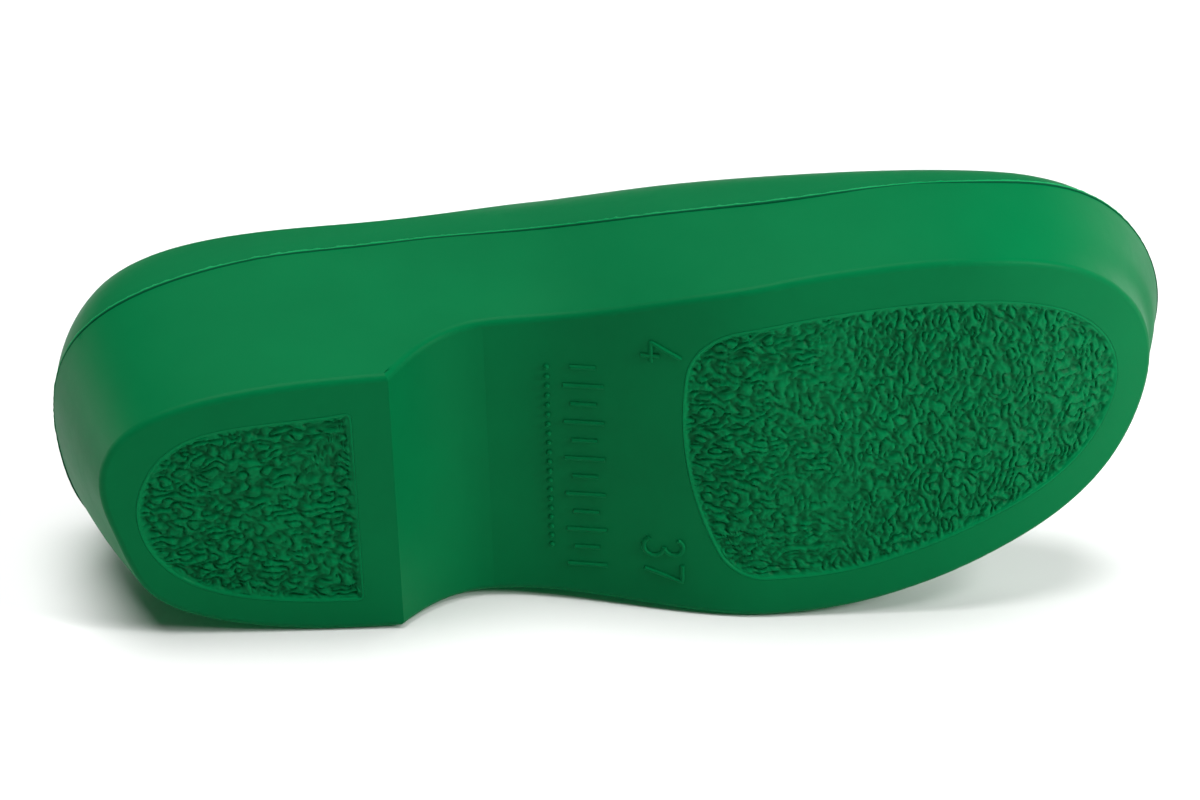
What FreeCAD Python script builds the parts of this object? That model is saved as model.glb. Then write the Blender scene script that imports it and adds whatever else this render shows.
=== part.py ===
"""Garden clog for a left foot, moulded in rubbery foam, with a lift-out cork footbed.

Frame: millimetres, +X to the toe, +Y to the outer (little toe) side, +Z up.
The origin is on the ground, under the centre of the clog's bounding box.
The sole unit and the upper meet at the side line, where they are bonded. The
tread pads are let into the sole; the footbed lies loose inside the shells.
"""
import FreeCAD
import Part
import math
import os

Vector = FreeCAD.Vector

# ---- overall sizes -------------------------------------------------------
OUTSOLE_LENGTH = 243.5      # heel back to toe tip, along the sole edge
OUTSOLE_WIDTH = 91.0        # widest place of the sole edge, across the ball
HEEL_LINE_Z = 48.5          # height of the side line along the heel
HEEL_LINE_DIP = 9.0         # how much lower the side line is round the heel's back
BALL_LINE_Z = 27.2          # height of the side line at the ball
TOE_LINE_Z = 35.5           # height of the side line round the toe

# ---- sole profile --------------------------------------------------------
HEEL_BASE_LENGTH = 63.5     # flat of the heel, back to breast
BREAST_RUN = 23.0           # length over which the heel breast sweeps up
SHANK_HEIGHT = 15.2         # highest place of the waist over the ground
BALL_START = 27.5           # ground contact starts, forward of mid length
BALL_END = 67.0             # ground contact ends and the toe spring begins
TOE_SPRING = 14.0           # height of the sole edge at the toe tip
SOLE_EDGE_RADIUS = 1.6

# ---- upper ---------------------------------------------------------------
RIDGE_TOE_Z = 62.0          # ridge height over the toes
RIDGE_TOE_SETBACK = 46.0    # ridge starts this far behind the toe tip
RIDGE_HEEL_SETBACK = 72.0   # and runs to this far ahead of the heel's back
RIDGE_SLOPE = 0.35          # rise of the ridge towards the instep
FORE_LEAN = 0.85            # below 1 the vamp's sides lean in sooner than an ellipse
COLLAR_BACK_Z = 62.0        # rim height behind the heel
COLLAR_SIDE_Z = 63.5        # lowest place of the rim, beside the ankle
THROAT_X = 4.0              # the vamp's rear edge, forward of mid length
RIM_RADIUS = 0.8
RIM_SHARE = 0.4             # most of the rim's narrowest width that one rounding takes

# ---- walls, seat and footbed ---------------------------------------------
SHELL_WALL = 8.0            # both shells at the side line
VAMP_WALL = 4.4             # upper at the ridge
ROOM_UPRIGHT_HEEL = 22.0    # upright stretch of the inside wall above the side line
ROOM_UPRIGHT_TOE = 3.0
SEAT_HEEL_Z = 35.0          # seat height under the heel
SEAT_BALL_Z = 13.0          # seat height under the ball
SEAT_RAMP_EARLY = 12.0      # the seat starts down this far behind the breast
SEAT_RAMP_LATE = 8.0        # and is down this far ahead of the ball's start
SEAT_TOE_RISE = 9.0         # further height of the seat at the toe tip
FOOTBED_GAP = 1.6           # footbed edge to the shells, all round
SEAT_GAP = 0.3              # footbed underside to its seat
CORK_THICKNESS = 6.0
COVER_THICKNESS = 1.4       # textile cover bonded on the cork
COVER_SETBACK = 0.6         # cover edge inside the cork's edge

# ---- tread pads ----------------------------------------------------------
PAD_DEPTH = 1.8             # depth of the recesses that take the pads
PAD_GAP = 0.1               # groove left round each pad
FOREFOOT_MARGIN = 10.0      # sole border round the forefoot pad
FOREFOOT_PAD_START = 7.6    # rearmost place of the pad, forward of mid length
FOREFOOT_PAD_ARC = 90.0     # radius of its bowed rear end
FOREFOOT_ARC_Y = -10.0      # the bow's rearmost place, to the inner side of the middle
FOREFOOT_CORNER = 14.0
HEEL_PAD_TO_BREAST = 8.5
HEEL_CORNER = 1.5

# Sole edge from above: forward of mid length as a share of OUTSOLE_LENGTH,
# to the side as a share of half OUTSOLE_WIDTH, then the outward flare in
# millimetres from there up to the side line. Round from the heel's back.
OUTLINE = (
    (-0.498, -0.011, 10.8), (-0.484, -0.486, 8.0), (-0.370, -0.688, 6.0),
    (-0.241, -0.697, 5.9), (-0.069, -0.774, 5.6), (0.046, -0.916, 4.9),
    (0.196, -1.004, 5.2), (0.3365, -0.960, 6.0), (0.437, -0.725, 8.0),
    (0.498, -0.209, 8.0), (0.462, 0.391, 6.8), (0.343, 0.758, 5.6),
    (0.1915, 0.985, 4.9), (0.037, 0.947, 4.7), (-0.104, 0.879, 4.9),
    (-0.241, 0.782, 5.9), (-0.370, 0.686, 8.0), (-0.462, 0.459, 10.8),
)

# Heel pad from above, from one end of its straight front round its back to the
# other: forward of the heel's back as a share of the way to that front, to the
# side as a share of half OUTSOLE_WIDTH.
HEEL_PAD_OUTLINE = (
    (1.0, -0.522), (0.577, -0.505), (0.265, -0.410), (0.113, -0.088),
    (0.223, 0.301), (0.505, 0.497), (1.0, 0.598),
)

LONG = 400.0                # reach of cutting tools past the clog
PAD_REACH = 60.0            # reach of the pads' plan blocks up and down
DOME_ANGLES = (0, 14, 28, 42, 56, 68, 79)   # degrees up the dome of the upper's rings
CREST_ANGLE = 88.3          # where the dome is closed by a narrow strip
INNER_POINTS = 30           # places that an outline inside the sole edge passes through
HALF_LENGTH = OUTSOLE_LENGTH / 2.0
HALF_WIDTH = OUTSOLE_WIDTH / 2.0
BREAST_X = HEEL_BASE_LENGTH - HALF_LENGTH
SHANK_X = BREAST_X + BREAST_RUN


# ---- plan outlines -------------------------------------------------------
def edge_points():
    """Sole edge in plan."""
    return [Vector(a * OUTSOLE_LENGTH, b * HALF_WIDTH, 0.0) for a, b, _ in OUTLINE]


def outward(points):
    """Outward unit direction at each point of a closed outline."""
    count = len(points)
    found = []
    for i in range(count):
        along = points[(i + 1) % count] - points[i - 1]
        found.append(Vector(along.y, -along.x, 0.0).normalize())
    return found


def grown(points, sizes):
    """Outline with every point moved outward by its own size."""
    return [p + n * s for p, n, s in zip(points, outward(points), sizes)]


def inset(points, size):
    """Outline moved inward by one size."""
    return grown(points, [-size] * len(points))


def line_points():
    """Side line in plan, the widest outline of the clog."""
    return grown(edge_points(), [flare for _, _, flare in OUTLINE])


def closed_curve(points):
    """Closed smooth curve; every outline is shared out alike round the clog."""
    base = edge_points()
    shares = [0.0]
    for i in range(len(base)):
        shares.append(shares[-1] + (base[(i + 1) % len(base)] - base[i]).Length)
    curve = Part.BSplineCurve()
    curve.interpolate(Points=points, PeriodicFlag=True, Parameters=shares)
    return curve


def inner_curve(margin, z):
    """Closed curve at a height that runs a margin inside the sole edge."""
    edge = closed_curve(edge_points())
    step = (edge.LastParameter - edge.FirstParameter) / INNER_POINTS
    points = []
    for i in range(INNER_POINTS):
        at = edge.FirstParameter + step * i
        along = edge.tangent(at)[0]
        points.append(edge.value(at) + Vector(-along.y, along.x, 0.0) * margin)
    curve = Part.BSplineCurve()
    curve.interpolate(Points=level(points, z), PeriodicFlag=True)
    return curve


def level(points, z):
    return [Vector(p.x, p.y, z) for p in points]


def prism(points, bottom, top):
    """Upright block over a plan outline."""
    face = Part.Face(Part.Wire([closed_curve(level(points, bottom)).toShape()]))
    return face.extrude(Vector(0.0, 0.0, top - bottom))


# ---- side profiles -------------------------------------------------------
def blend(x, start, end):
    """0 before start, 1 after end, level at both."""
    share = min(1.0, max(0.0, (x - start) / (end - start)))
    return share * share * (3.0 - 2.0 * share)


def sole_z(x):
    """Underside of the sole along the clog."""
    if x < SHANK_X:
        share = min(1.0, max(0.0, (x - BREAST_X) / BREAST_RUN))
        return SHANK_HEIGHT * (1.0 - (1.0 - share) ** 2) if share else 0.0
    if x < BALL_END:
        return SHANK_HEIGHT * (1.0 - blend(x, SHANK_X, BALL_START))
    return TOE_SPRING * ((x - BALL_END) / (HALF_LENGTH - BALL_END)) ** 2


def line_z(x):
    """Height of the side line along the clog."""
    waist = blend(x, BREAST_X + 8.0, BALL_START + 17.0)
    toe = blend(x, BALL_END + 8.0, HALF_LENGTH + 12.0)
    back = 1.0 - blend(x, -HALF_LENGTH - 10.0, -HALF_LENGTH + 50.0)
    side = HEEL_LINE_Z + (BALL_LINE_Z - HEEL_LINE_Z) * waist
    return side + (TOE_LINE_Z - BALL_LINE_Z) * toe - HEEL_LINE_DIP * back


def ridge_z(x):
    """Height of the upper's ridge."""
    return RIDGE_TOE_Z + RIDGE_SLOPE * (HALF_LENGTH - RIDGE_TOE_SETBACK - x)


def bezier(*poles):
    curve = Part.BezierCurve()
    curve.setPoles([Vector(x, 0.0, z) for x, z in poles])
    return curve.toShape()


def flat(x0, x1, z):
    return Part.makeLine(Vector(x0, 0.0, z), Vector(x1, 0.0, z))


def ramp(x0, z0, x1, z1):
    """Profile edge from one level to another, level at both ends."""
    third = (x1 - x0) / 3.0
    return bezier((x0, z0), (x0 + third, z0), (x1 - third, z1), (x1, z1))


def run_up(x0, z0, x1, rise):
    """Parabola that leaves the level at x0 and has risen by rise at x1, drawn twice as far."""
    return bezier((x0, z0), (x1, z0), (2.0 * x1 - x0, z0 + 4.0 * rise))


def smooth_edge(places):
    curve = Part.BSplineCurve()
    curve.interpolate([Vector(x, 0.0, z) for x, z in places])
    return curve.toShape()


def above(edges):
    """Block of everything above a side profile, across the whole clog."""
    first = edges[0].Vertexes[0].Point
    last = edges[-1].Vertexes[-1].Point
    corners = [last, Vector(last.x, 0.0, LONG), Vector(first.x, 0.0, LONG), first]
    closing = [Part.makeLine(a, b) for a, b in zip(corners, corners[1:])]
    face = Part.Face(Part.Wire(edges + closing))
    face.translate(Vector(0.0, -LONG, 0.0))
    return face.extrude(Vector(0.0, 2.0 * LONG, 0.0))


def lifted(shape, z):
    moved = shape.copy()
    moved.translate(Vector(0.0, 0.0, z))
    return moved


def above_sole():
    return above([
        flat(-LONG, BREAST_X, 0.0),
        bezier((BREAST_X, 0.0), (BREAST_X + BREAST_RUN / 2.0, SHANK_HEIGHT),
               (SHANK_X, SHANK_HEIGHT)),
        ramp(SHANK_X, SHANK_HEIGHT, BALL_START, 0.0),
        flat(BALL_START, BALL_END, 0.0),
        run_up(BALL_END, 0.0, HALF_LENGTH, TOE_SPRING),
    ])


def above_seat():
    start = BREAST_X - SEAT_RAMP_EARLY
    end = BALL_START + SEAT_RAMP_LATE
    return above([
        flat(-LONG, start, SEAT_HEEL_Z),
        ramp(start, SEAT_HEEL_Z, end, SEAT_BALL_Z),
        run_up(end, SEAT_BALL_Z, HALF_LENGTH, SEAT_TOE_RISE),
    ])


def above_line():
    reach = HALF_LENGTH + 30.0
    steps = [-reach + 2.0 * reach * i / 26.0 for i in range(27)]
    return above([smooth_edge([(x, line_z(x)) for x in steps])])


def foot_opening():
    """Everything above the rim, from behind the heel to the throat."""
    back = -HALF_LENGTH
    reach = THROAT_X - BREAST_X
    rise = ridge_z(THROAT_X) - COLLAR_SIDE_Z
    sweep = [math.radians(15.0 * i) for i in range(7)]
    swept = [(BREAST_X + reach * math.sin(a), COLLAR_SIDE_Z + rise * (1.0 - math.cos(a)))
             for a in sweep]
    return above([smooth_edge([
        (back - 50.0, COLLAR_BACK_Z + 1.0), (back - 5.0, COLLAR_BACK_Z),
        (back + 35.0, COLLAR_SIDE_Z + 0.8)] + swept + [(THROAT_X + 2.0, LONG / 2.0)])])


# ---- skins ---------------------------------------------------------------
def skinned(rings):
    """Solid whose side passes smoothly through a stack of rings, with flat ends."""
    curves = [closed_curve(ring) for ring in rings]
    rise = [0.0]
    for low, high in zip(rings, rings[1:]):
        rise.append(rise[-1] + sum((b - a).Length for a, b in zip(low, high)) / len(low))
    strands = []
    for column in zip(*[curve.getPoles() for curve in curves]):
        strand = Part.BSplineCurve()
        strand.interpolate(Points=list(column), Parameters=rise)
        strands.append(strand)
    surface = Part.BSplineSurface()
    surface.buildFromPolesMultsKnots(
        [strand.getPoles() for strand in strands],
        curves[0].getMultiplicities(), strands[0].getMultiplicities(),
        curves[0].getKnots(), strands[0].getKnots(), True, False, 3, 3)
    side = surface.toShape()
    rims = [e for e in side.Edges if e.isClosed()]
    ends = [Part.Face(Part.Wire([rim])) for rim in rims]
    shell = Part.makeShell([side] + ends)
    shell.sewShape()
    return Part.makeSolid(shell)


def flared(share):
    """Outer skin below the side line: 0 at the sole edge, 1 at the side line."""
    swell = share * (1.25 - 0.25 * share)
    points = grown(edge_points(), [flare * swell for _, _, flare in OUTLINE])
    heights = [(sole_z(p.x), line_z(p.x)) for p in line_points()]
    return [Vector(p.x, p.y, low + (high - low) * share)
            for p, (low, high) in zip(points, heights)]


def lower_skin():
    bottom = level(inset(edge_points(), 2.0), -8.0)
    top = level(grown(line_points(), [3.0] * len(OUTLINE)), HEEL_LINE_Z + 22.0)
    return skinned([bottom, flared(0.0), flared(0.33), flared(0.67), flared(1.0), top])


def domed(points, starts, angle, drop):
    """Ring of a dome that rises from an outline to the ridge."""
    low = min(p.x for p in points)
    high = max(p.x for p in points)
    heel = Vector(RIDGE_HEEL_SETBACK - HALF_LENGTH, 2.0, 0.0)
    toe = Vector(HALF_LENGTH - RIDGE_TOE_SETBACK, -4.0, 0.0)
    upward = math.sin(math.radians(angle))
    ring = []
    for p, start in zip(points, starts):
        goal = heel + (toe - heel) * ((p.x - low) / (high - low))
        power = 1.0 + (FORE_LEAN - 1.0) * blend(p.x, 0.0, BALL_END + 15.0)
        at = p + (goal - p) * (1.0 - math.cos(math.radians(angle))) ** power
        slide = RIDGE_SLOPE * (at.x - goal.x) * upward ** 4
        z = start + (ridge_z(goal.x) - drop - start) * upward - slide
        ring.append(Vector(at.x, at.y, z))
    return ring


def crest(points, drop):
    """Narrow flat ring along the ridge that closes a dome."""
    ring = domed(points, [0.0] * len(points), CREST_ANGLE, drop)
    return [Vector(p.x, p.y, ridge_z(p.x) - drop) for p in ring]


def upper_skin():
    points = line_points()
    starts = [line_z(p.x) for p in points]
    rings = [domed(points, starts, a, 0.0) for a in DOME_ANGLES]
    return skinned([level(points, 8.0)] + rings + [crest(points, 0.0)])


def foot_room():
    """Space inside both shells: upright walls, then a dome under the vamp."""
    points = inset(line_points(), SHELL_WALL)
    upright = [ROOM_UPRIGHT_TOE + (ROOM_UPRIGHT_HEEL - ROOM_UPRIGHT_TOE)
               * (1.0 - blend(p.x, BREAST_X, THROAT_X + 6.0)) for p in points]
    starts = [line_z(p.x) + up for p, up in zip(points, upright)]
    rings = [domed(points, starts, a, VAMP_WALL) for a in DOME_ANGLES]
    return skinned([level(points, 2.0), level(points, 12.0)] + rings
                  + [crest(points, VAMP_WALL)])


# ---- tread pads ----------------------------------------------------------
def inner_block(margin):
    """Upright block over all that lies a margin inside the sole edge."""
    outline = Part.Wire([inner_curve(margin, -PAD_REACH).toShape()])
    return Part.Face(outline).extrude(Vector(0.0, 0.0, 2.0 * PAD_REACH))


def rounded_corners(block, radius):
    return block.makeFillet(radius, [e for e in block.Edges if is_upright(e)])


def is_upright(edge):
    first, last = edge.Vertexes[0].Point, edge.Vertexes[-1].Point
    return (last - first).Length > 1.0 and abs(last.z - first.z) > 0.999 * (last - first).Length


def forefoot_field(gap):
    """Plan area of the forefoot pad, with a bowed rear end."""
    middle = Vector(FOREFOOT_PAD_START + FOREFOOT_PAD_ARC, FOREFOOT_ARC_Y, -PAD_REACH)
    bow = Part.makeCylinder(FOREFOOT_PAD_ARC - gap, 2.0 * PAD_REACH, middle)
    field = inner_block(FOREFOOT_MARGIN + gap).common(bow)
    return rounded_corners(field, FOREFOOT_CORNER - gap)


def heel_field(gap):
    """Plan area of the heel pad: a straight front and a round back."""
    length = HEEL_BASE_LENGTH - HEEL_PAD_TO_BREAST
    places = [Vector(a * length - HALF_LENGTH, b * HALF_WIDTH, -PAD_REACH)
              for a, b in HEEL_PAD_OUTLINE]
    middle = (places[0] + places[3] + places[-1]) / 3.0
    drawn = [p + (middle - p).normalize() * gap for p in places]
    back = Part.BSplineCurve()
    back.interpolate(drawn)
    outline = Part.Wire([back.toShape(), Part.makeLine(drawn[-1], drawn[0])])
    block = Part.Face(outline).extrude(Vector(0.0, 0.0, 2.0 * PAD_REACH))
    return rounded_corners(block, HEEL_CORNER - gap)


def pad(field):
    sole = above_sole()
    return field.common(sole).cut(lifted(sole, PAD_DEPTH))


# ---- parts ---------------------------------------------------------------
def rounded_sole_edge(shape):
    """Soften the edge between the underside and the side walls."""
    side = max(shape.Faces, key=lambda f: f.Area if f.BoundBox.ZLength > HEEL_LINE_Z / 2.0 else 0)
    under = [e for e in side.Edges if e.BoundBox.ZMax < SHANK_HEIGHT + 2.0]
    return shape.makeFillet(SOLE_EDGE_RADIUS, under)


def sole_unit():
    block = lower_skin().cut(above_line()).common(above_sole())
    block = rounded_sole_edge(block)
    block = block.cut(foot_room().common(above_seat()))
    for field in (forefoot_field(0.0), heel_field(0.0)):
        block = block.cut(field.cut(lifted(above_sole(), PAD_DEPTH)))
    return block


def rounded_rim(shape):
    """Soften both edges of the rim, the smallest face that spans the opening."""
    spanning = [f for f in shape.Faces if f.BoundBox.ZMin > HEEL_LINE_Z
                and f.BoundBox.YLength > HALF_WIDTH]
    rim = min(spanning, key=lambda f: f.Area)
    width = rim.Wires[0].distToShape(rim.Wires[1])[0]
    return shape.makeFillet(min(RIM_RADIUS, RIM_SHARE * width), rim.Edges)


def upper():
    shell = upper_skin().common(above_line()).cut(foot_room()).cut(foot_opening())
    return rounded_rim(shell.Solids[0])


def footbed_layer(edge_gap, bottom, top):
    points = inset(line_points(), SHELL_WALL + edge_gap)
    seat = above_seat()
    return prism(points, 0.0, 100.0).common(lifted(seat, bottom)).cut(lifted(seat, top))


def cork_footbed():
    return footbed_layer(FOOTBED_GAP, SEAT_GAP, SEAT_GAP + CORK_THICKNESS)


def footbed_cover():
    bottom = SEAT_GAP + CORK_THICKNESS
    return footbed_layer(FOOTBED_GAP + COVER_SETBACK, bottom, bottom + COVER_THICKNESS)


def main():
    os.makedirs("parts", exist_ok=True)
    parts = {
        "sole_unit": sole_unit(),
        "upper": upper(),
        "forefoot_pad": pad(forefoot_field(PAD_GAP)),
        "heel_pad": pad(heel_field(PAD_GAP)),
        "cork_footbed": cork_footbed(),
        "footbed_cover": footbed_cover(),
    }
    box = Part.makeCompound(list(parts.values())).optimalBoundingBox(False)
    shift = Vector(-box.Center.x, -box.Center.y, 0.0)
    for name, shape in parts.items():
        shape.translate(shift)
        shape.exportStep("parts/" + name + ".step")


main()
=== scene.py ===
import math

import bmesh
import bpy
from mathutils import Matrix, Vector, noise
from mathutils.bvhtree import BVHTree


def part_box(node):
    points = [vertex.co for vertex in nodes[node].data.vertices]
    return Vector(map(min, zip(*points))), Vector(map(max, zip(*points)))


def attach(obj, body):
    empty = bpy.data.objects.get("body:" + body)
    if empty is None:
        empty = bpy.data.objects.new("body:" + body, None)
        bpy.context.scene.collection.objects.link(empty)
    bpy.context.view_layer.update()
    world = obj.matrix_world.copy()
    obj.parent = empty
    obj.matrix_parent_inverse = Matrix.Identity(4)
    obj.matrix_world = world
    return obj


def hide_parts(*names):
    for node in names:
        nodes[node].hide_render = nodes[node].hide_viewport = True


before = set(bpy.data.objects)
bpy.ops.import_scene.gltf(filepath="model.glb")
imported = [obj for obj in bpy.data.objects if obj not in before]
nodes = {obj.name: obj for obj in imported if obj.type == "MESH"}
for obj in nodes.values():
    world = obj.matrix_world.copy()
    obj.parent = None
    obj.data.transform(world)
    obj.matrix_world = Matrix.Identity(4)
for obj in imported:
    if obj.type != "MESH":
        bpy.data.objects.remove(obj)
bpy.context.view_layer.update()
MM = 0.001

# ---- the shot, in metres ---------------------------------------------------
CAMERA_AT = Vector((-0.10273, -0.39165, -0.58184))
CAMERA_RIGHT = Vector((0.98530, 0.02015, -0.16963))
CAMERA_UP = Vector((0.10746, -0.84501, 0.52384))
CAMERA_LENS = 94.32
# The clog lies on its outer side: this plane touches the side wall.
FLOOR_NORMAL = Vector((-0.106, 0.983, -0.149)).normalized()
FLOOR_DISTANCE = 0.0423
FLOOR_SIZE = 3.0
WORLD_FILL = 0.06
WORLD_GLOSS = 0.15

# ---- tread pads, in metres -------------------------------------------------
PAD_STEP = 0.36 * MM        # spacing of the pads' surface points
PAD_BODY = 1.6 * MM         # thickness of a pad piece
PAD_RELIEF = 1.15 * MM      # depth of the grain
PAD_LAND = 0.45 * MM        # smooth band along a pad's edge
PAD_FADE = 1.6 * MM         # the grain reaches its full depth this far in
FOLD_WIDTH = 1.6            # millimetres, across a fold of the grain
FOLD_LENGTH = 2.7           # millimetres, along a fold
FOLD_TURN = 42.0            # millimetres forward, where the folds turn to run across the sole
FOLD_PATCH = 14.0           # millimetres over which they turn
FOLD_BEND = 3.4             # millimetres over which a fold wanders

# ---- footbed cover, in metres ----------------------------------------------
COVER_STEP = 1.0 * MM
COVER_ROUND = 1.2 * MM      # width over which the top rounds down to the cut edge
COVER_DROP = 0.5            # share of that width that the top drops
COVER_BODY = 0.75 * MM

# ---- side line and raised marks, in metres ---------------------------------
LINE_STEP = 0.8 * MM
FLASH_RADIUS = 0.34 * MM
FLASH_RISE = 0.30 * MM      # the flash sits on the upper, above the joint
JOINT_RADIUS = 0.34 * MM
JOINT_SINK = 0.16 * MM
MARK_HEIGHT = 8.8 * MM
MARK_RADIUS = 0.52 * MM
MARK_RISE = 0.12 * MM
RIB_COUNT = 12
RIB_PITCH = 4.9 * MM
DOT_COUNT = 20
DOT_PITCH = 2.55 * MM
DOT_RADIUS = 0.66 * MM


# ---- colours and nodes -----------------------------------------------------
def linear(code):
    """Linear RGBA from an sRGB hex code."""
    parts = [int(code[i:i + 2], 16) / 255.0 for i in (1, 3, 5)]
    return [c / 12.92 if c <= 0.04045 else ((c + 0.055) / 1.055) ** 2.4 for c in parts] + [1.0]


def add(tree, kind, settings=None, **links):
    """A node of one kind; settings go to its own fields or input sockets, links to inputs."""
    made = tree.nodes.new(kind)
    for name, value in (settings or {}).items():
        if name in made.inputs:
            made.inputs[name].default_value = value
        else:
            setattr(made, name, value)
    for name, source in links.items():
        tree.links.new(source, made.inputs[name.replace("_", " ")])
    return made


def new_material(name):
    made = bpy.data.materials.new(name)
    made.use_nodes = True
    made.node_tree.nodes.clear()
    return made, made.node_tree


def close(tree, shader):
    out = add(tree, "ShaderNodeOutputMaterial")
    tree.links.new(shader.outputs[0], out.inputs["Surface"])


def ramp(tree, factor, *stops):
    """Colour ramp through (place, hex) stops."""
    made = add(tree, "ShaderNodeValToRGB", Fac=factor)
    first, last = made.color_ramp.elements
    first.position, first.color = stops[0][0], linear(stops[0][1])
    last.position, last.color = stops[-1][0], linear(stops[-1][1])
    for place, code in stops[1:-1]:
        made.color_ramp.elements.new(place).color = linear(code)
    return made.outputs["Color"]


def pattern(tree, kind, size, **settings):
    """Noise or cell pattern whose features are about a size in metres."""
    place = add(tree, "ShaderNodeTexCoord").outputs["Object"]
    return add(tree, kind, {"Scale": 1.0 / size, **settings}, Vector=place)


def spread(tree, factor, low, high):
    """A pattern's 0 to 1 drawn out between two values."""
    made = add(tree, "ShaderNodeMapRange", {"To Min": low, "To Max": high}, Value=factor)
    return made.outputs["Result"]


# ---- materials -------------------------------------------------------------
def moulded_rubber(name, light, dark, roughness, peel, crease_depth_and_shade=None):
    """Blown rubber from a polished mould: even colour, satin skin with faint orange peel and rubbed places. An
    optional second colour paints shade into the creases of a grained pad.
    """
    made, tree = new_material(name)
    cloud = pattern(tree, "ShaderNodeTexNoise", 35 * MM, Detail=4.0, Roughness=0.6)
    tint = ramp(tree, cloud.outputs["Fac"], (0.30, dark), (0.70, light))
    # Painted shade: the creases' depth attribute darkens the colour towards the given shade colour.
    if crease_depth_and_shade:
        crease_shade_mask = add(tree, "ShaderNodeAttribute", {"attribute_name": "crease_depth_and_shade"}).outputs["Fac"]
        mixed = add(tree, "ShaderNodeMix", {"data_type": "RGBA"})
        tree.links.new(spread(tree, crease_shade_mask, -0.20, 1.10), mixed.inputs["Factor"])
        tree.links.new(tint, mixed.inputs[6])
        mixed.inputs[7].default_value = linear(crease_depth_and_shade)
        tint = mixed.outputs[2]
    rubbed = pattern(tree, "ShaderNodeTexNoise", 9 * MM, Detail=6.0, Roughness=0.7)
    satin = spread(tree, rubbed.outputs["Fac"], roughness - 0.07, roughness + 0.09)
    skin = pattern(tree, "ShaderNodeTexNoise", 1.3 * MM, Detail=3.0, Roughness=0.6)
    fine = add(tree, "ShaderNodeBump", {"Strength": peel, "Distance": 0.1 * MM}, Height=skin.outputs["Fac"])
    shader = add(tree, "ShaderNodeBsdfPrincipled", {"IOR": 1.5, "Specular IOR Level": 0.03},
                 Base_Color=tint, Roughness=satin, Normal=fine.outputs["Normal"])
    close(tree, shader)
    return made


def pressed_cork():
    """Ground cork pressed with a binder: pale and dark grains a few millimetres across, quite matt."""
    made, tree = new_material("pressed_cork")
    grains = pattern(tree, "ShaderNodeTexVoronoi", 2.2 * MM)
    shade = add(tree, "ShaderNodeSeparateColor", Color=grains.outputs["Color"]).outputs["Red"]
    tint = ramp(tree, shade, (0.0, "#6E4A2B"), (0.18, "#A97B4C"), (0.7, "#C39A68"), (1.0, "#D8B384"))
    bump = add(tree, "ShaderNodeBump", {"Strength": 0.5, "Distance": 0.3 * MM}, Height=grains.outputs["Distance"])
    shader = add(tree, "ShaderNodeBsdfPrincipled", {"Roughness": 0.85, "IOR": 1.45, "Specular IOR Level": 0.3},
                 Base_Color=tint, Normal=bump.outputs["Normal"])
    close(tree, shader)
    return made


def brushed_textile():
    """Short brushed cotton jersey: fleecy, with fine ribs of thread that show a millimetre apart."""
    made, tree = new_material("brushed_textile")
    place = add(tree, "ShaderNodeTexCoord").outputs["Object"]
    ribs = add(tree, "ShaderNodeTexWave", {"Scale": 1.0 / (3.0 * MM), "bands_direction": "Y", "Distortion": 1.5,
                                           "Detail": 2.0, "Detail Scale": 2.0}, Vector=place)
    fleck = pattern(tree, "ShaderNodeTexNoise", 0.9 * MM, Detail=4.0, Roughness=0.7)
    both = add(tree, "ShaderNodeMath", {"operation": "MULTIPLY"})
    tree.links.new(ribs.outputs["Fac"], both.inputs[0])
    tree.links.new(fleck.outputs["Fac"], both.inputs[1])
    tint = ramp(tree, both.outputs[0], (0.05, "#7A6F5D"), (0.35, "#978B76"), (0.7, "#B3A892"))
    bump = add(tree, "ShaderNodeBump", {"Strength": 0.6, "Distance": 0.25 * MM}, Height=both.outputs[0])
    shader = add(tree, "ShaderNodeBsdfPrincipled", {"Roughness": 0.95, "Specular IOR Level": 0.15,
                                                    "Sheen Weight": 0.35, "Sheen Roughness": 0.5},
                 Base_Color=tint, Normal=bump.outputs["Normal"])
    close(tree, shader)
    return made


SHELL_GREEN = moulded_rubber("moulded_green_rubber", "#006135", "#005C32", 0.43, 0.16)
# 004A27 is painted shade for the grain's creases, not a pigment of the rubber.
TREAD_GREEN = moulded_rubber("tread_green_rubber", "#006C3C", "#006236", 0.38, 0.20, crease_depth_and_shade="#004A27")
# Dark rubber for painted shade along the joint, beneath the upper's edge.
JOINT_SHADE_GREEN = moulded_rubber("joint_shade_rubber", "#00462A", "#003C22", 0.60, 0.25)
# Lighter, glossier rubber for the flash: the beads are real, their lighter colour is a painted highlight.
FLASH_HIGHLIGHT_GREEN = moulded_rubber("flash_highlight_rubber", "#1C8852", "#007A42", 0.30, 0.25)
CORK = pressed_cork()
TEXTILE = brushed_textile()


# ---- mesh helpers ----------------------------------------------------------
def finish_with(node, material):
    nodes[node].data.materials.clear()
    nodes[node].data.materials.append(material)


def merged(node):
    """Copy of a CAD node's mesh with its triangles joined."""
    mesh = bmesh.new()
    mesh.from_mesh(nodes[node].data)
    bmesh.ops.remove_doubles(mesh, verts=mesh.verts, dist=0.002 * MM)
    return mesh


def made_piece(mesh, name, material, body="shell"):
    """Finished object from a bmesh, riding on a body."""
    bmesh.ops.recalc_face_normals(mesh, faces=mesh.faces)
    data = bpy.data.meshes.new(name)
    mesh.to_mesh(data)
    mesh.free()
    data.polygons.foreach_set("use_smooth", [True] * len(data.polygons))
    data.materials.append(material)
    piece = bpy.data.objects.new(name, data)
    bpy.context.scene.collection.objects.link(piece)
    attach(piece, body)
    return piece


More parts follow.
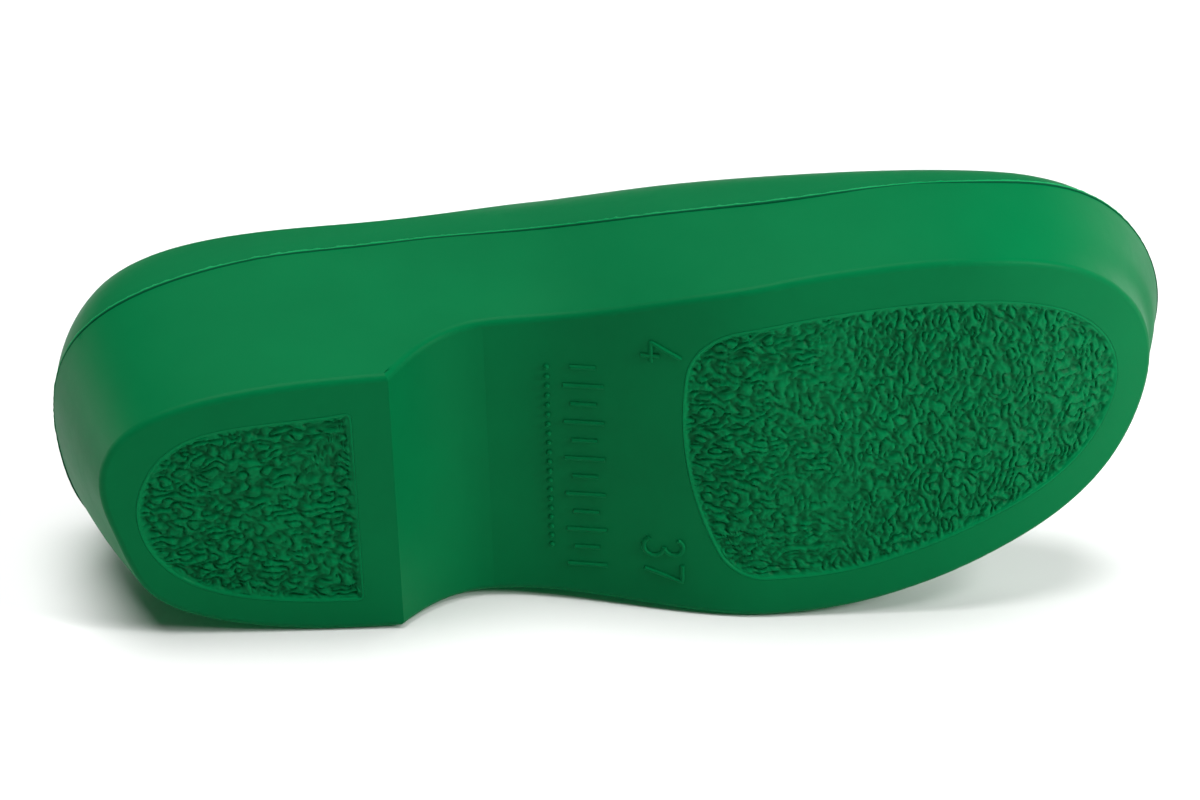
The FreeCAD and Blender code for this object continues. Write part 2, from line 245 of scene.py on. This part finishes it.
def tube(mesh, places, radii, closed):
    """Adds a round tube along places to a bmesh."""
    data = bpy.data.curves.new("route", "CURVE")
    data.dimensions = "3D"
    data.bevel_depth = 1.0
    data.bevel_resolution = 3
    data.use_fill_caps = True
    line = data.splines.new("POLY")
    line.points.add(len(places) - 1)
    for point, place, radius in zip(line.points, places, radii):
        point.co = (*place, 1.0)
        point.radius = radius
    line.use_cyclic_u = closed
    holder = bpy.data.objects.new("route", data)
    skin = bpy.data.meshes.new_from_object(holder)
    mesh.from_mesh(skin)
    bpy.data.objects.remove(holder)
    bpy.data.curves.remove(data)
    bpy.data.meshes.remove(skin)


# ---- tread pads ------------------------------------------------------------
def outline_fence(node):
    """Upright wall over a pad's outline, for measuring the way to its edge."""
    mesh = merged(node)
    rim = {e for e in mesh.edges if len(e.link_faces) == 2
           and (e.link_faces[0].normal.z < -0.5) != (e.link_faces[1].normal.z < -0.5)}
    bmesh.ops.delete(mesh, geom=mesh.faces[:], context="FACES_ONLY")
    bmesh.ops.delete(mesh, geom=[e for e in mesh.edges if e not in rim], context="EDGES")
    for v in mesh.verts:
        v.co.z = -MM
    grown = bmesh.ops.extrude_edge_only(mesh, edges=mesh.edges[:])["geom"]
    bmesh.ops.translate(mesh, verts=[v for v in grown if isinstance(v, bmesh.types.BMVert)], vec=(0.0, 0.0, 2.0 * MM))
    tree = BVHTree.FromBMesh(mesh)
    mesh.free()
    return tree


def folds(at, wide, long):
    """0 in thin creases and 1 on the swells between them, drawn out along Y by wide and long."""
    return min(1.0, abs(noise.noise(Vector((at.x / wide, at.y / long, at.z)))) * 2.8)


def wrinkle(place):
    """Grain of crumpled skin: 0 on its swells, 1 in its creases, which turn across the sole towards the toe."""
    at = place / MM
    at = at + noise.noise_vector(at / FOLD_BEND) * (0.22 * FOLD_BEND)
    patch = noise.noise(at / FOLD_PATCH)
    turn = min(1.0, max(0.0, 0.5 + (at.x - FOLD_TURN) / FOLD_PATCH + 2.0 * patch))
    rear = folds(at, FOLD_LENGTH, FOLD_WIDTH)
    fore = folds(at + Vector((0.0, 0.0, 5.0)), FOLD_WIDTH, FOLD_LENGTH)
    fold = rear + (fore - rear) * turn
    crease = folds(at + Vector((0.0, 0.0, 9.0)), 0.7 * FOLD_WIDTH, 0.7 * FOLD_WIDTH)
    swell = 0.5 + 0.7 * noise.noise(at / (1.6 * FOLD_WIDTH) + Vector((2.0, 9.0, 4.0)))
    return min(1.0, max(0.0, 0.62 * (1.0 - fold) ** 1.3 + 0.22 * (1.0 - crease) + 0.34 * swell))


def spread_grid(mesh, fence, node, step):
    """Grid drawn out to a node's outline: yields each vertex, its plan place and the middle."""
    low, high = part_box(node)
    half = (high - low) / 2.0
    middle = Vector(((low.x + high.x) / 2.0, (low.y + high.y) / 2.0, 0.0))
    bmesh.ops.create_grid(mesh, x_segments=int(2.0 * half.x / step), y_segments=int(2.0 * half.y / step), size=1.0)
    for v in mesh.verts:
        u, w = v.co.x, v.co.y
        spoke = Vector((u * math.sqrt(1.0 - w * w / 2.0), w * math.sqrt(1.0 - u * u / 2.0), 0.0))
        share = spoke.length
        spoke = Vector((spoke.x * half.x, spoke.y * half.y, 0.0)).normalized() if share else Vector((1.0, 0.0, 0.0))
        yield v, middle + spoke * fence.ray_cast(middle, spoke)[3] * share, middle


def grained_pad(node, name):
    """A pad whose underside carries the grain, inside the CAD pad's outline."""
    fence = outline_fence(node)
    solid = merged(node)
    ground = BVHTree.FromBMesh(solid)
    solid.free()
    mesh = bmesh.new()
    crease_depth_and_shade = mesh.verts.layers.float.new("crease_depth_and_shade")
    for v, place, middle in spread_grid(mesh, fence, node, PAD_STEP):
        inside = fence.find_nearest(place)[3]
        probe = place.lerp(middle, 0.001)
        hit = ground.ray_cast(Vector((probe.x, probe.y, -5.0 * MM)), Vector((0.0, 0.0, 1.0)))[0]
        groove = 0.16 * MM * max(0.0, 1.0 - abs(inside - 0.8 * MM) / (0.35 * MM))
        fade = min(1.0, max(0.0, (inside - PAD_LAND) / (PAD_FADE - PAD_LAND)))
        # The crease depth sets the relief and, through the tread material, painted shade in the creases.
        v[crease_depth_and_shade] = fade * wrinkle(place)
        v.co = Vector((place.x, place.y, hit.z + groove + PAD_RELIEF * v[crease_depth_and_shade]))
    rim = [e for e in mesh.edges if e.is_boundary]
    grown = bmesh.ops.extrude_edge_only(mesh, edges=rim)["geom"]
    bmesh.ops.translate(mesh, verts=[v for v in grown if isinstance(v, bmesh.types.BMVert)], vec=(0.0, 0.0, PAD_BODY))
    bmesh.ops.contextual_create(mesh, geom=[e for e in mesh.edges if e.is_boundary])
    piece = made_piece(mesh, name, TREAD_GREEN)
    piece.data.set_sharp_from_angle(angle=math.radians(60.0))
    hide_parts(node)


# ---- footbed cover ---------------------------------------------------------
def laid_cover():
    """The textile cover bonded on the cork: its cut edge rounds over and the fleece is a little uneven."""
    fence = outline_fence("footbed_cover")
    solid = merged("footbed_cover")
    top = BVHTree.FromBMesh(solid)
    solid.free()
    mesh = bmesh.new()
    for v, place, middle in spread_grid(mesh, fence, "footbed_cover", COVER_STEP):
        inside = min(COVER_ROUND, fence.find_nearest(place)[3])
        probe = place.lerp(middle, 0.002)
        hit = top.ray_cast(Vector((probe.x, probe.y, 0.2)), Vector((0.0, 0.0, -1.0)))[0]
        over = COVER_ROUND - math.sqrt(COVER_ROUND ** 2 - (COVER_ROUND - inside) ** 2)
        fleece = 0.06 * MM * (1.0 + noise.noise(place / (2.0 * MM)))
        v.co = Vector((place.x, place.y, hit.z - over * COVER_DROP - fleece))
    grown = bmesh.ops.extrude_face_region(mesh, geom=mesh.faces[:])["geom"]
    bmesh.ops.translate(mesh, verts=[v for v in grown if isinstance(v, bmesh.types.BMVert)], vec=(0.0, 0.0, -COVER_BODY))
    cover = made_piece(mesh, "laid_cover", TEXTILE, "footbed")
    cover.data.set_sharp_from_angle(angle=math.radians(60.0))
    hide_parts("footbed_cover")


# ---- side line -------------------------------------------------------------
def side_line():
    """Evenly spaced (place, outward) round the joint between the upper and the sole unit."""
    mesh = merged("upper")
    mesh.verts.ensure_lookup_table()
    mesh.verts.index_update()
    follow = {}
    for edge in mesh.edges:
        if len(edge.link_faces) != 2:
            continue
        under, side = sorted(edge.link_faces, key=lambda f: f.normal.z)
        middle = (edge.verts[0].co + edge.verts[1].co) / 2.0
        outer = side.normal.x * middle.x + side.normal.y * middle.y > 0.0
        if under.normal.z < -0.7 and side.normal.z > -0.5 and outer:
            for a, b in (edge.verts, reversed(edge.verts)):
                follow.setdefault(a.index, []).append(b.index)
    places = {i: mesh.verts[i].co.copy() for i in follow}
    mesh.free()
    start = next(iter(follow))
    order = [start]
    came = None
    while True:
        onward = [i for i in follow[order[-1]] if i != came]
        came = order[-1]
        if not onward or onward[0] == start:
            break
        order.append(onward[0])
    return evenly([places[i] for i in order])


def evenly(places):
    """Closed line shared out at LINE_STEP."""
    ways = [(b - a).length for a, b in zip(places, places[1:] + places[:1])]
    count = int(sum(ways) / LINE_STEP)
    step = sum(ways) / count
    found = []
    done = 0.0
    i = 0
    for k in range(count):
        while done + ways[i] < k * step:
            done += ways[i]
            i += 1
        ahead = places[(i + 1) % len(places)]
        found.append(places[i].lerp(ahead, (k * step - done) / ways[i]))
    return found


def side_line_pieces():
    """The joint between the upper and the sole, drawn as a dark tube that paints the shade beneath the upper's edge,
    and on the upper's edge above it the beaded flash that the mould left, coloured lighter as a painted highlight.
    """
    line = side_line()
    count = len(line)
    outward = []
    for i in range(count):
        along = line[(i + 1) % count] - line[i - 1]
        away = Vector((along.y, -along.x, 0.0)).normalized()
        outward.append(away if away.dot(line[i]) > 0.0 else -away)
    # The joint is real; the dark tube sunk in it is painted shade, the shadow under the upper's proud edge.
    joint = bmesh.new()
    sunk = [p - n * JOINT_SINK - Vector((0.0, 0.0, JOINT_RADIUS * 0.6)) for p, n in zip(line, outward)]
    tube(joint, sunk, [JOINT_RADIUS] * count, True)
    made_piece(joint, "joint_shade_line", JOINT_SHADE_GREEN)
    flash = bmesh.new()
    beads = []
    radii = []
    for p, n in zip(line, outward):
        bead = noise.noise(p / (1.1 * MM))
        patch = 0.5 + 0.5 * noise.noise(p / (30.0 * MM))
        beads.append(p + Vector((0.0, 0.0, FLASH_RISE * (1.0 + 0.5 * bead))) - n * 0.04 * MM)
        radii.append(FLASH_RADIUS * (0.85 + 0.95 * patch * bead))
    tube(flash, beads, radii, True)
    # The flash beads are real geometry; their lighter material paints the highlight along the upper's edge.
    made_piece(flash, "mould_flash", FLASH_HIGHLIGHT_GREEN)


# ---- raised marks on the waist ----------------------------------------------
def arc(u, v, across, up, start, end):
    """Points of an elliptic arc, angles in degrees."""
    steps = 12
    turns = [math.radians(start + (end - start) * i / steps) for i in range(steps + 1)]
    return [(u + across * math.cos(t), v + up * math.sin(t)) for t in turns]


# Strokes of each numeral in a box one high.
THREE = [arc(0.27, 0.76, 0.25, 0.24, 155, -88), arc(0.27, 0.26, 0.29, 0.26, 88, -155)]
SEVEN = [[(0.02, 0.97), (0.54, 0.97), (0.16, 0.02)]]
FOUR = [[(0.48, 1.0), (0.02, 0.27), (0.60, 0.27)], [(0.42, 0.48), (0.42, 0.02)]]


def stroke(mesh, places, radius):
    """Raised round stroke through plan places, cut finely enough to follow the sole."""
    fine = []
    for a, b in zip(places, places[1:]):
        steps = max(1, int((b - a).length / (0.7 * MM)))
        fine += [a.lerp(b, i / steps) for i in range(steps)]
    tube(mesh, fine + [places[-1]], [radius] * (len(fine) + 1), False)


def laid_on_sole(mesh):
    """Lays flat strokes on the sole's underside, half sunk in it."""
    sole = merged("sole_unit")
    ground = BVHTree.FromBMesh(sole)
    sole.free()
    for v in mesh.verts:
        hit = ground.ray_cast(Vector((v.co.x, v.co.y, -5.0 * MM)), Vector((0.0, 0.0, 1.0)))[0]
        v.co.z = hit.z - v.co.z - MARK_RISE


def numeral(name, strokes, centre, width):
    """A numeral whose top points to the toe, read from the inner side to the outer."""
    mesh = bmesh.new()
    for points in strokes:
        places = [Vector((centre[0] + (v - 0.5) * MARK_HEIGHT, centre[1] + (u - width / 2.0) * MARK_HEIGHT, 0.0))
                  for u, v in points]
        stroke(mesh, places, MARK_RADIUS)
    laid_on_sole(mesh)
    made_piece(mesh, name, SHELL_GREEN)


def waist_marks():
    """Size numerals, and plain ribs and dots across the waist."""
    numeral("size_4", FOUR, (4.4 * MM, -26.9 * MM), 0.58)
    numeral("size_3", THREE, (4.6 * MM, 26.0 * MM), 0.56)
    numeral("size_7", SEVEN, (4.6 * MM, 33.2 * MM), 0.56)
    ribs = bmesh.new()
    for i in range(RIB_COUNT):
        y = 5.6 * MM + (i - (RIB_COUNT - 1) / 2.0) * RIB_PITCH
        reach = MARK_HEIGHT * (0.5 if i % 2 else 0.32)
        stroke(ribs, [Vector((-12.3 * MM - reach, y, 0.0)), Vector((-12.3 * MM + reach, y, 0.0))], MARK_RADIUS)
    laid_on_sole(ribs)
    made_piece(ribs, "waist_ribs", SHELL_GREEN)
    dots = bmesh.new()
    for i in range(DOT_COUNT):
        y = 3.1 * MM + (i - (DOT_COUNT - 1) / 2.0) * DOT_PITCH
        place = Matrix.Translation((-20.2 * MM, y, 0.0))
        bmesh.ops.create_icosphere(dots, subdivisions=2, radius=DOT_RADIUS, matrix=place)
    laid_on_sole(dots)
    made_piece(dots, "waist_dots", SHELL_GREEN)


# ---- stage -----------------------------------------------------------------
def floor_matrix():
    across = CAMERA_RIGHT.cross(FLOOR_NORMAL).normalized()
    along = FLOOR_NORMAL.cross(across)
    return Matrix((along, across, -FLOOR_NORMAL)).transposed().to_4x4()


def make_floor():
    """Pale floor under the lying clog; it lets the view and the light through from beneath."""
    mesh = bmesh.new()
    bmesh.ops.create_grid(mesh, x_segments=2, y_segments=2, size=FLOOR_SIZE)
    place = Matrix.Translation(FLOOR_NORMAL * FLOOR_DISTANCE) @ floor_matrix()
    bmesh.ops.transform(mesh, matrix=place, verts=mesh.verts)
    data = bpy.data.meshes.new("floor")
    mesh.to_mesh(data)
    mesh.free()
    floor = bpy.data.objects.new("floor", data)
    bpy.context.scene.collection.objects.link(floor)
    made, tree = new_material("pale_floor")
    paint = add(tree, "ShaderNodeBsdfDiffuse", {"Color": linear("#DCDDDC")})
    gone = add(tree, "ShaderNodeBsdfTransparent")
    side = add(tree, "ShaderNodeNewGeometry").outputs["Backfacing"]
    lit = add(tree, "ShaderNodeLightPath").outputs["Is Shadow Ray"]
    either = add(tree, "ShaderNodeMath", {"operation": "MAXIMUM"})
    tree.links.new(side, either.inputs[0])
    tree.links.new(lit, either.inputs[1])
    both = add(tree, "ShaderNodeMixShader", Fac=either.outputs[0])
    tree.links.new(paint.outputs[0], both.inputs[1])
    tree.links.new(gone.outputs[0], both.inputs[2])
    close(tree, both)
    floor.data.materials.append(made)


def panel_light(name, place, towards, size, power, diffuse=True):
    """Square softbox at a place, facing another."""
    data = bpy.data.lights.new(name, "AREA")
    data.size = size
    data.energy = power
    lamp = bpy.data.objects.new(name, data)
    lamp.rotation_mode = "QUATERNION"
    lamp.rotation_quaternion = (Vector(place) - Vector(towards)).to_track_quat("Z", "Y")
    lamp.location = place
    lamp.visible_diffuse = diffuse
    bpy.context.scene.collection.objects.link(lamp)


def soft_light(name, towards, strength, spread_deg, gloss=True):
    """Broad distant light from one direction."""
    data = bpy.data.lights.new(name, "SUN")
    data.energy = strength
    data.angle = math.radians(spread_deg)
    lamp = bpy.data.objects.new(name, data)
    lamp.rotation_mode = "QUATERNION"
    lamp.rotation_quaternion = Vector(towards).to_track_quat("Z", "Y")
    lamp.visible_glossy = gloss
    bpy.context.scene.collection.objects.link(lamp)


def make_world():
    """White studio: full white behind the clog, a dim even fill on it, and dark in its gloss."""
    world = bpy.data.worlds.new("white_studio")
    world.use_nodes = True
    tree = world.node_tree
    sky = tree.nodes["Background"]
    path = add(tree, "ShaderNodeLightPath")
    fill = add(tree, "ShaderNodeMapRange", {"To Min": WORLD_FILL, "To Max": WORLD_GLOSS}, Value=path.outputs["Is Glossy Ray"])
    seen = add(tree, "ShaderNodeMapRange", {"To Max": 1.0}, Value=path.outputs["Is Camera Ray"])
    tree.links.new(fill.outputs["Result"], seen.inputs["To Min"])
    tree.links.new(seen.outputs["Result"], sky.inputs["Strength"])
    sky.inputs["Color"].default_value = (1.0, 1.0, 1.0, 1.0)
    bpy.context.scene.world = world


def make_camera():
    data = bpy.data.cameras.new("camera")
    data.lens = CAMERA_LENS
    data.sensor_width = 36.0
    data.clip_end = 20.0
    camera = bpy.data.objects.new("camera", data)
    turn = Matrix((CAMERA_RIGHT, CAMERA_UP, CAMERA_RIGHT.cross(CAMERA_UP))).transposed().to_4x4()
    camera.matrix_world = Matrix.Translation(CAMERA_AT) @ turn
    bpy.context.scene.collection.objects.link(camera)
    bpy.context.scene.camera = camera


make_camera()
make_floor()
make_world()
soft_light("overhead_softbox", (-0.03, -0.99, 0.10), 3.7, 40.0)
soft_light("grazing_light", (0.62, -0.74, -0.24), 1.1, 12.0, gloss=False)
soft_light("top_softbox", (0.10, -0.30, 0.95), 1.3, 40.0, gloss=False)
soft_light("far_side_softbox", (-0.25, 0.85, 0.45), 2.2, 40.0, gloss=False)
panel_light("toe_side_softbox", (0.40, -0.18, -0.20), (0.08, 0.0, 0.03), 0.12, 1.6)
panel_light("toe_gloss", (0.68, -0.01, 0.44), (0.116, -0.032, 0.025), 0.5, 1.5, diffuse=False)
panel_light("heel_gloss", (-0.70, -0.10, 0.25), (-0.12, 0.0, 0.04), 0.5, 4.0, diffuse=False)
bpy.context.scene.view_settings.view_transform = "Standard"

finish_with("sole_unit", SHELL_GREEN)
finish_with("upper", SHELL_GREEN)
finish_with("cork_footbed", CORK)
laid_cover()
grained_pad("forefoot_pad", "forefoot_tread")
grained_pad("heel_pad", "heel_tread")
side_line_pieces()
waist_marks()
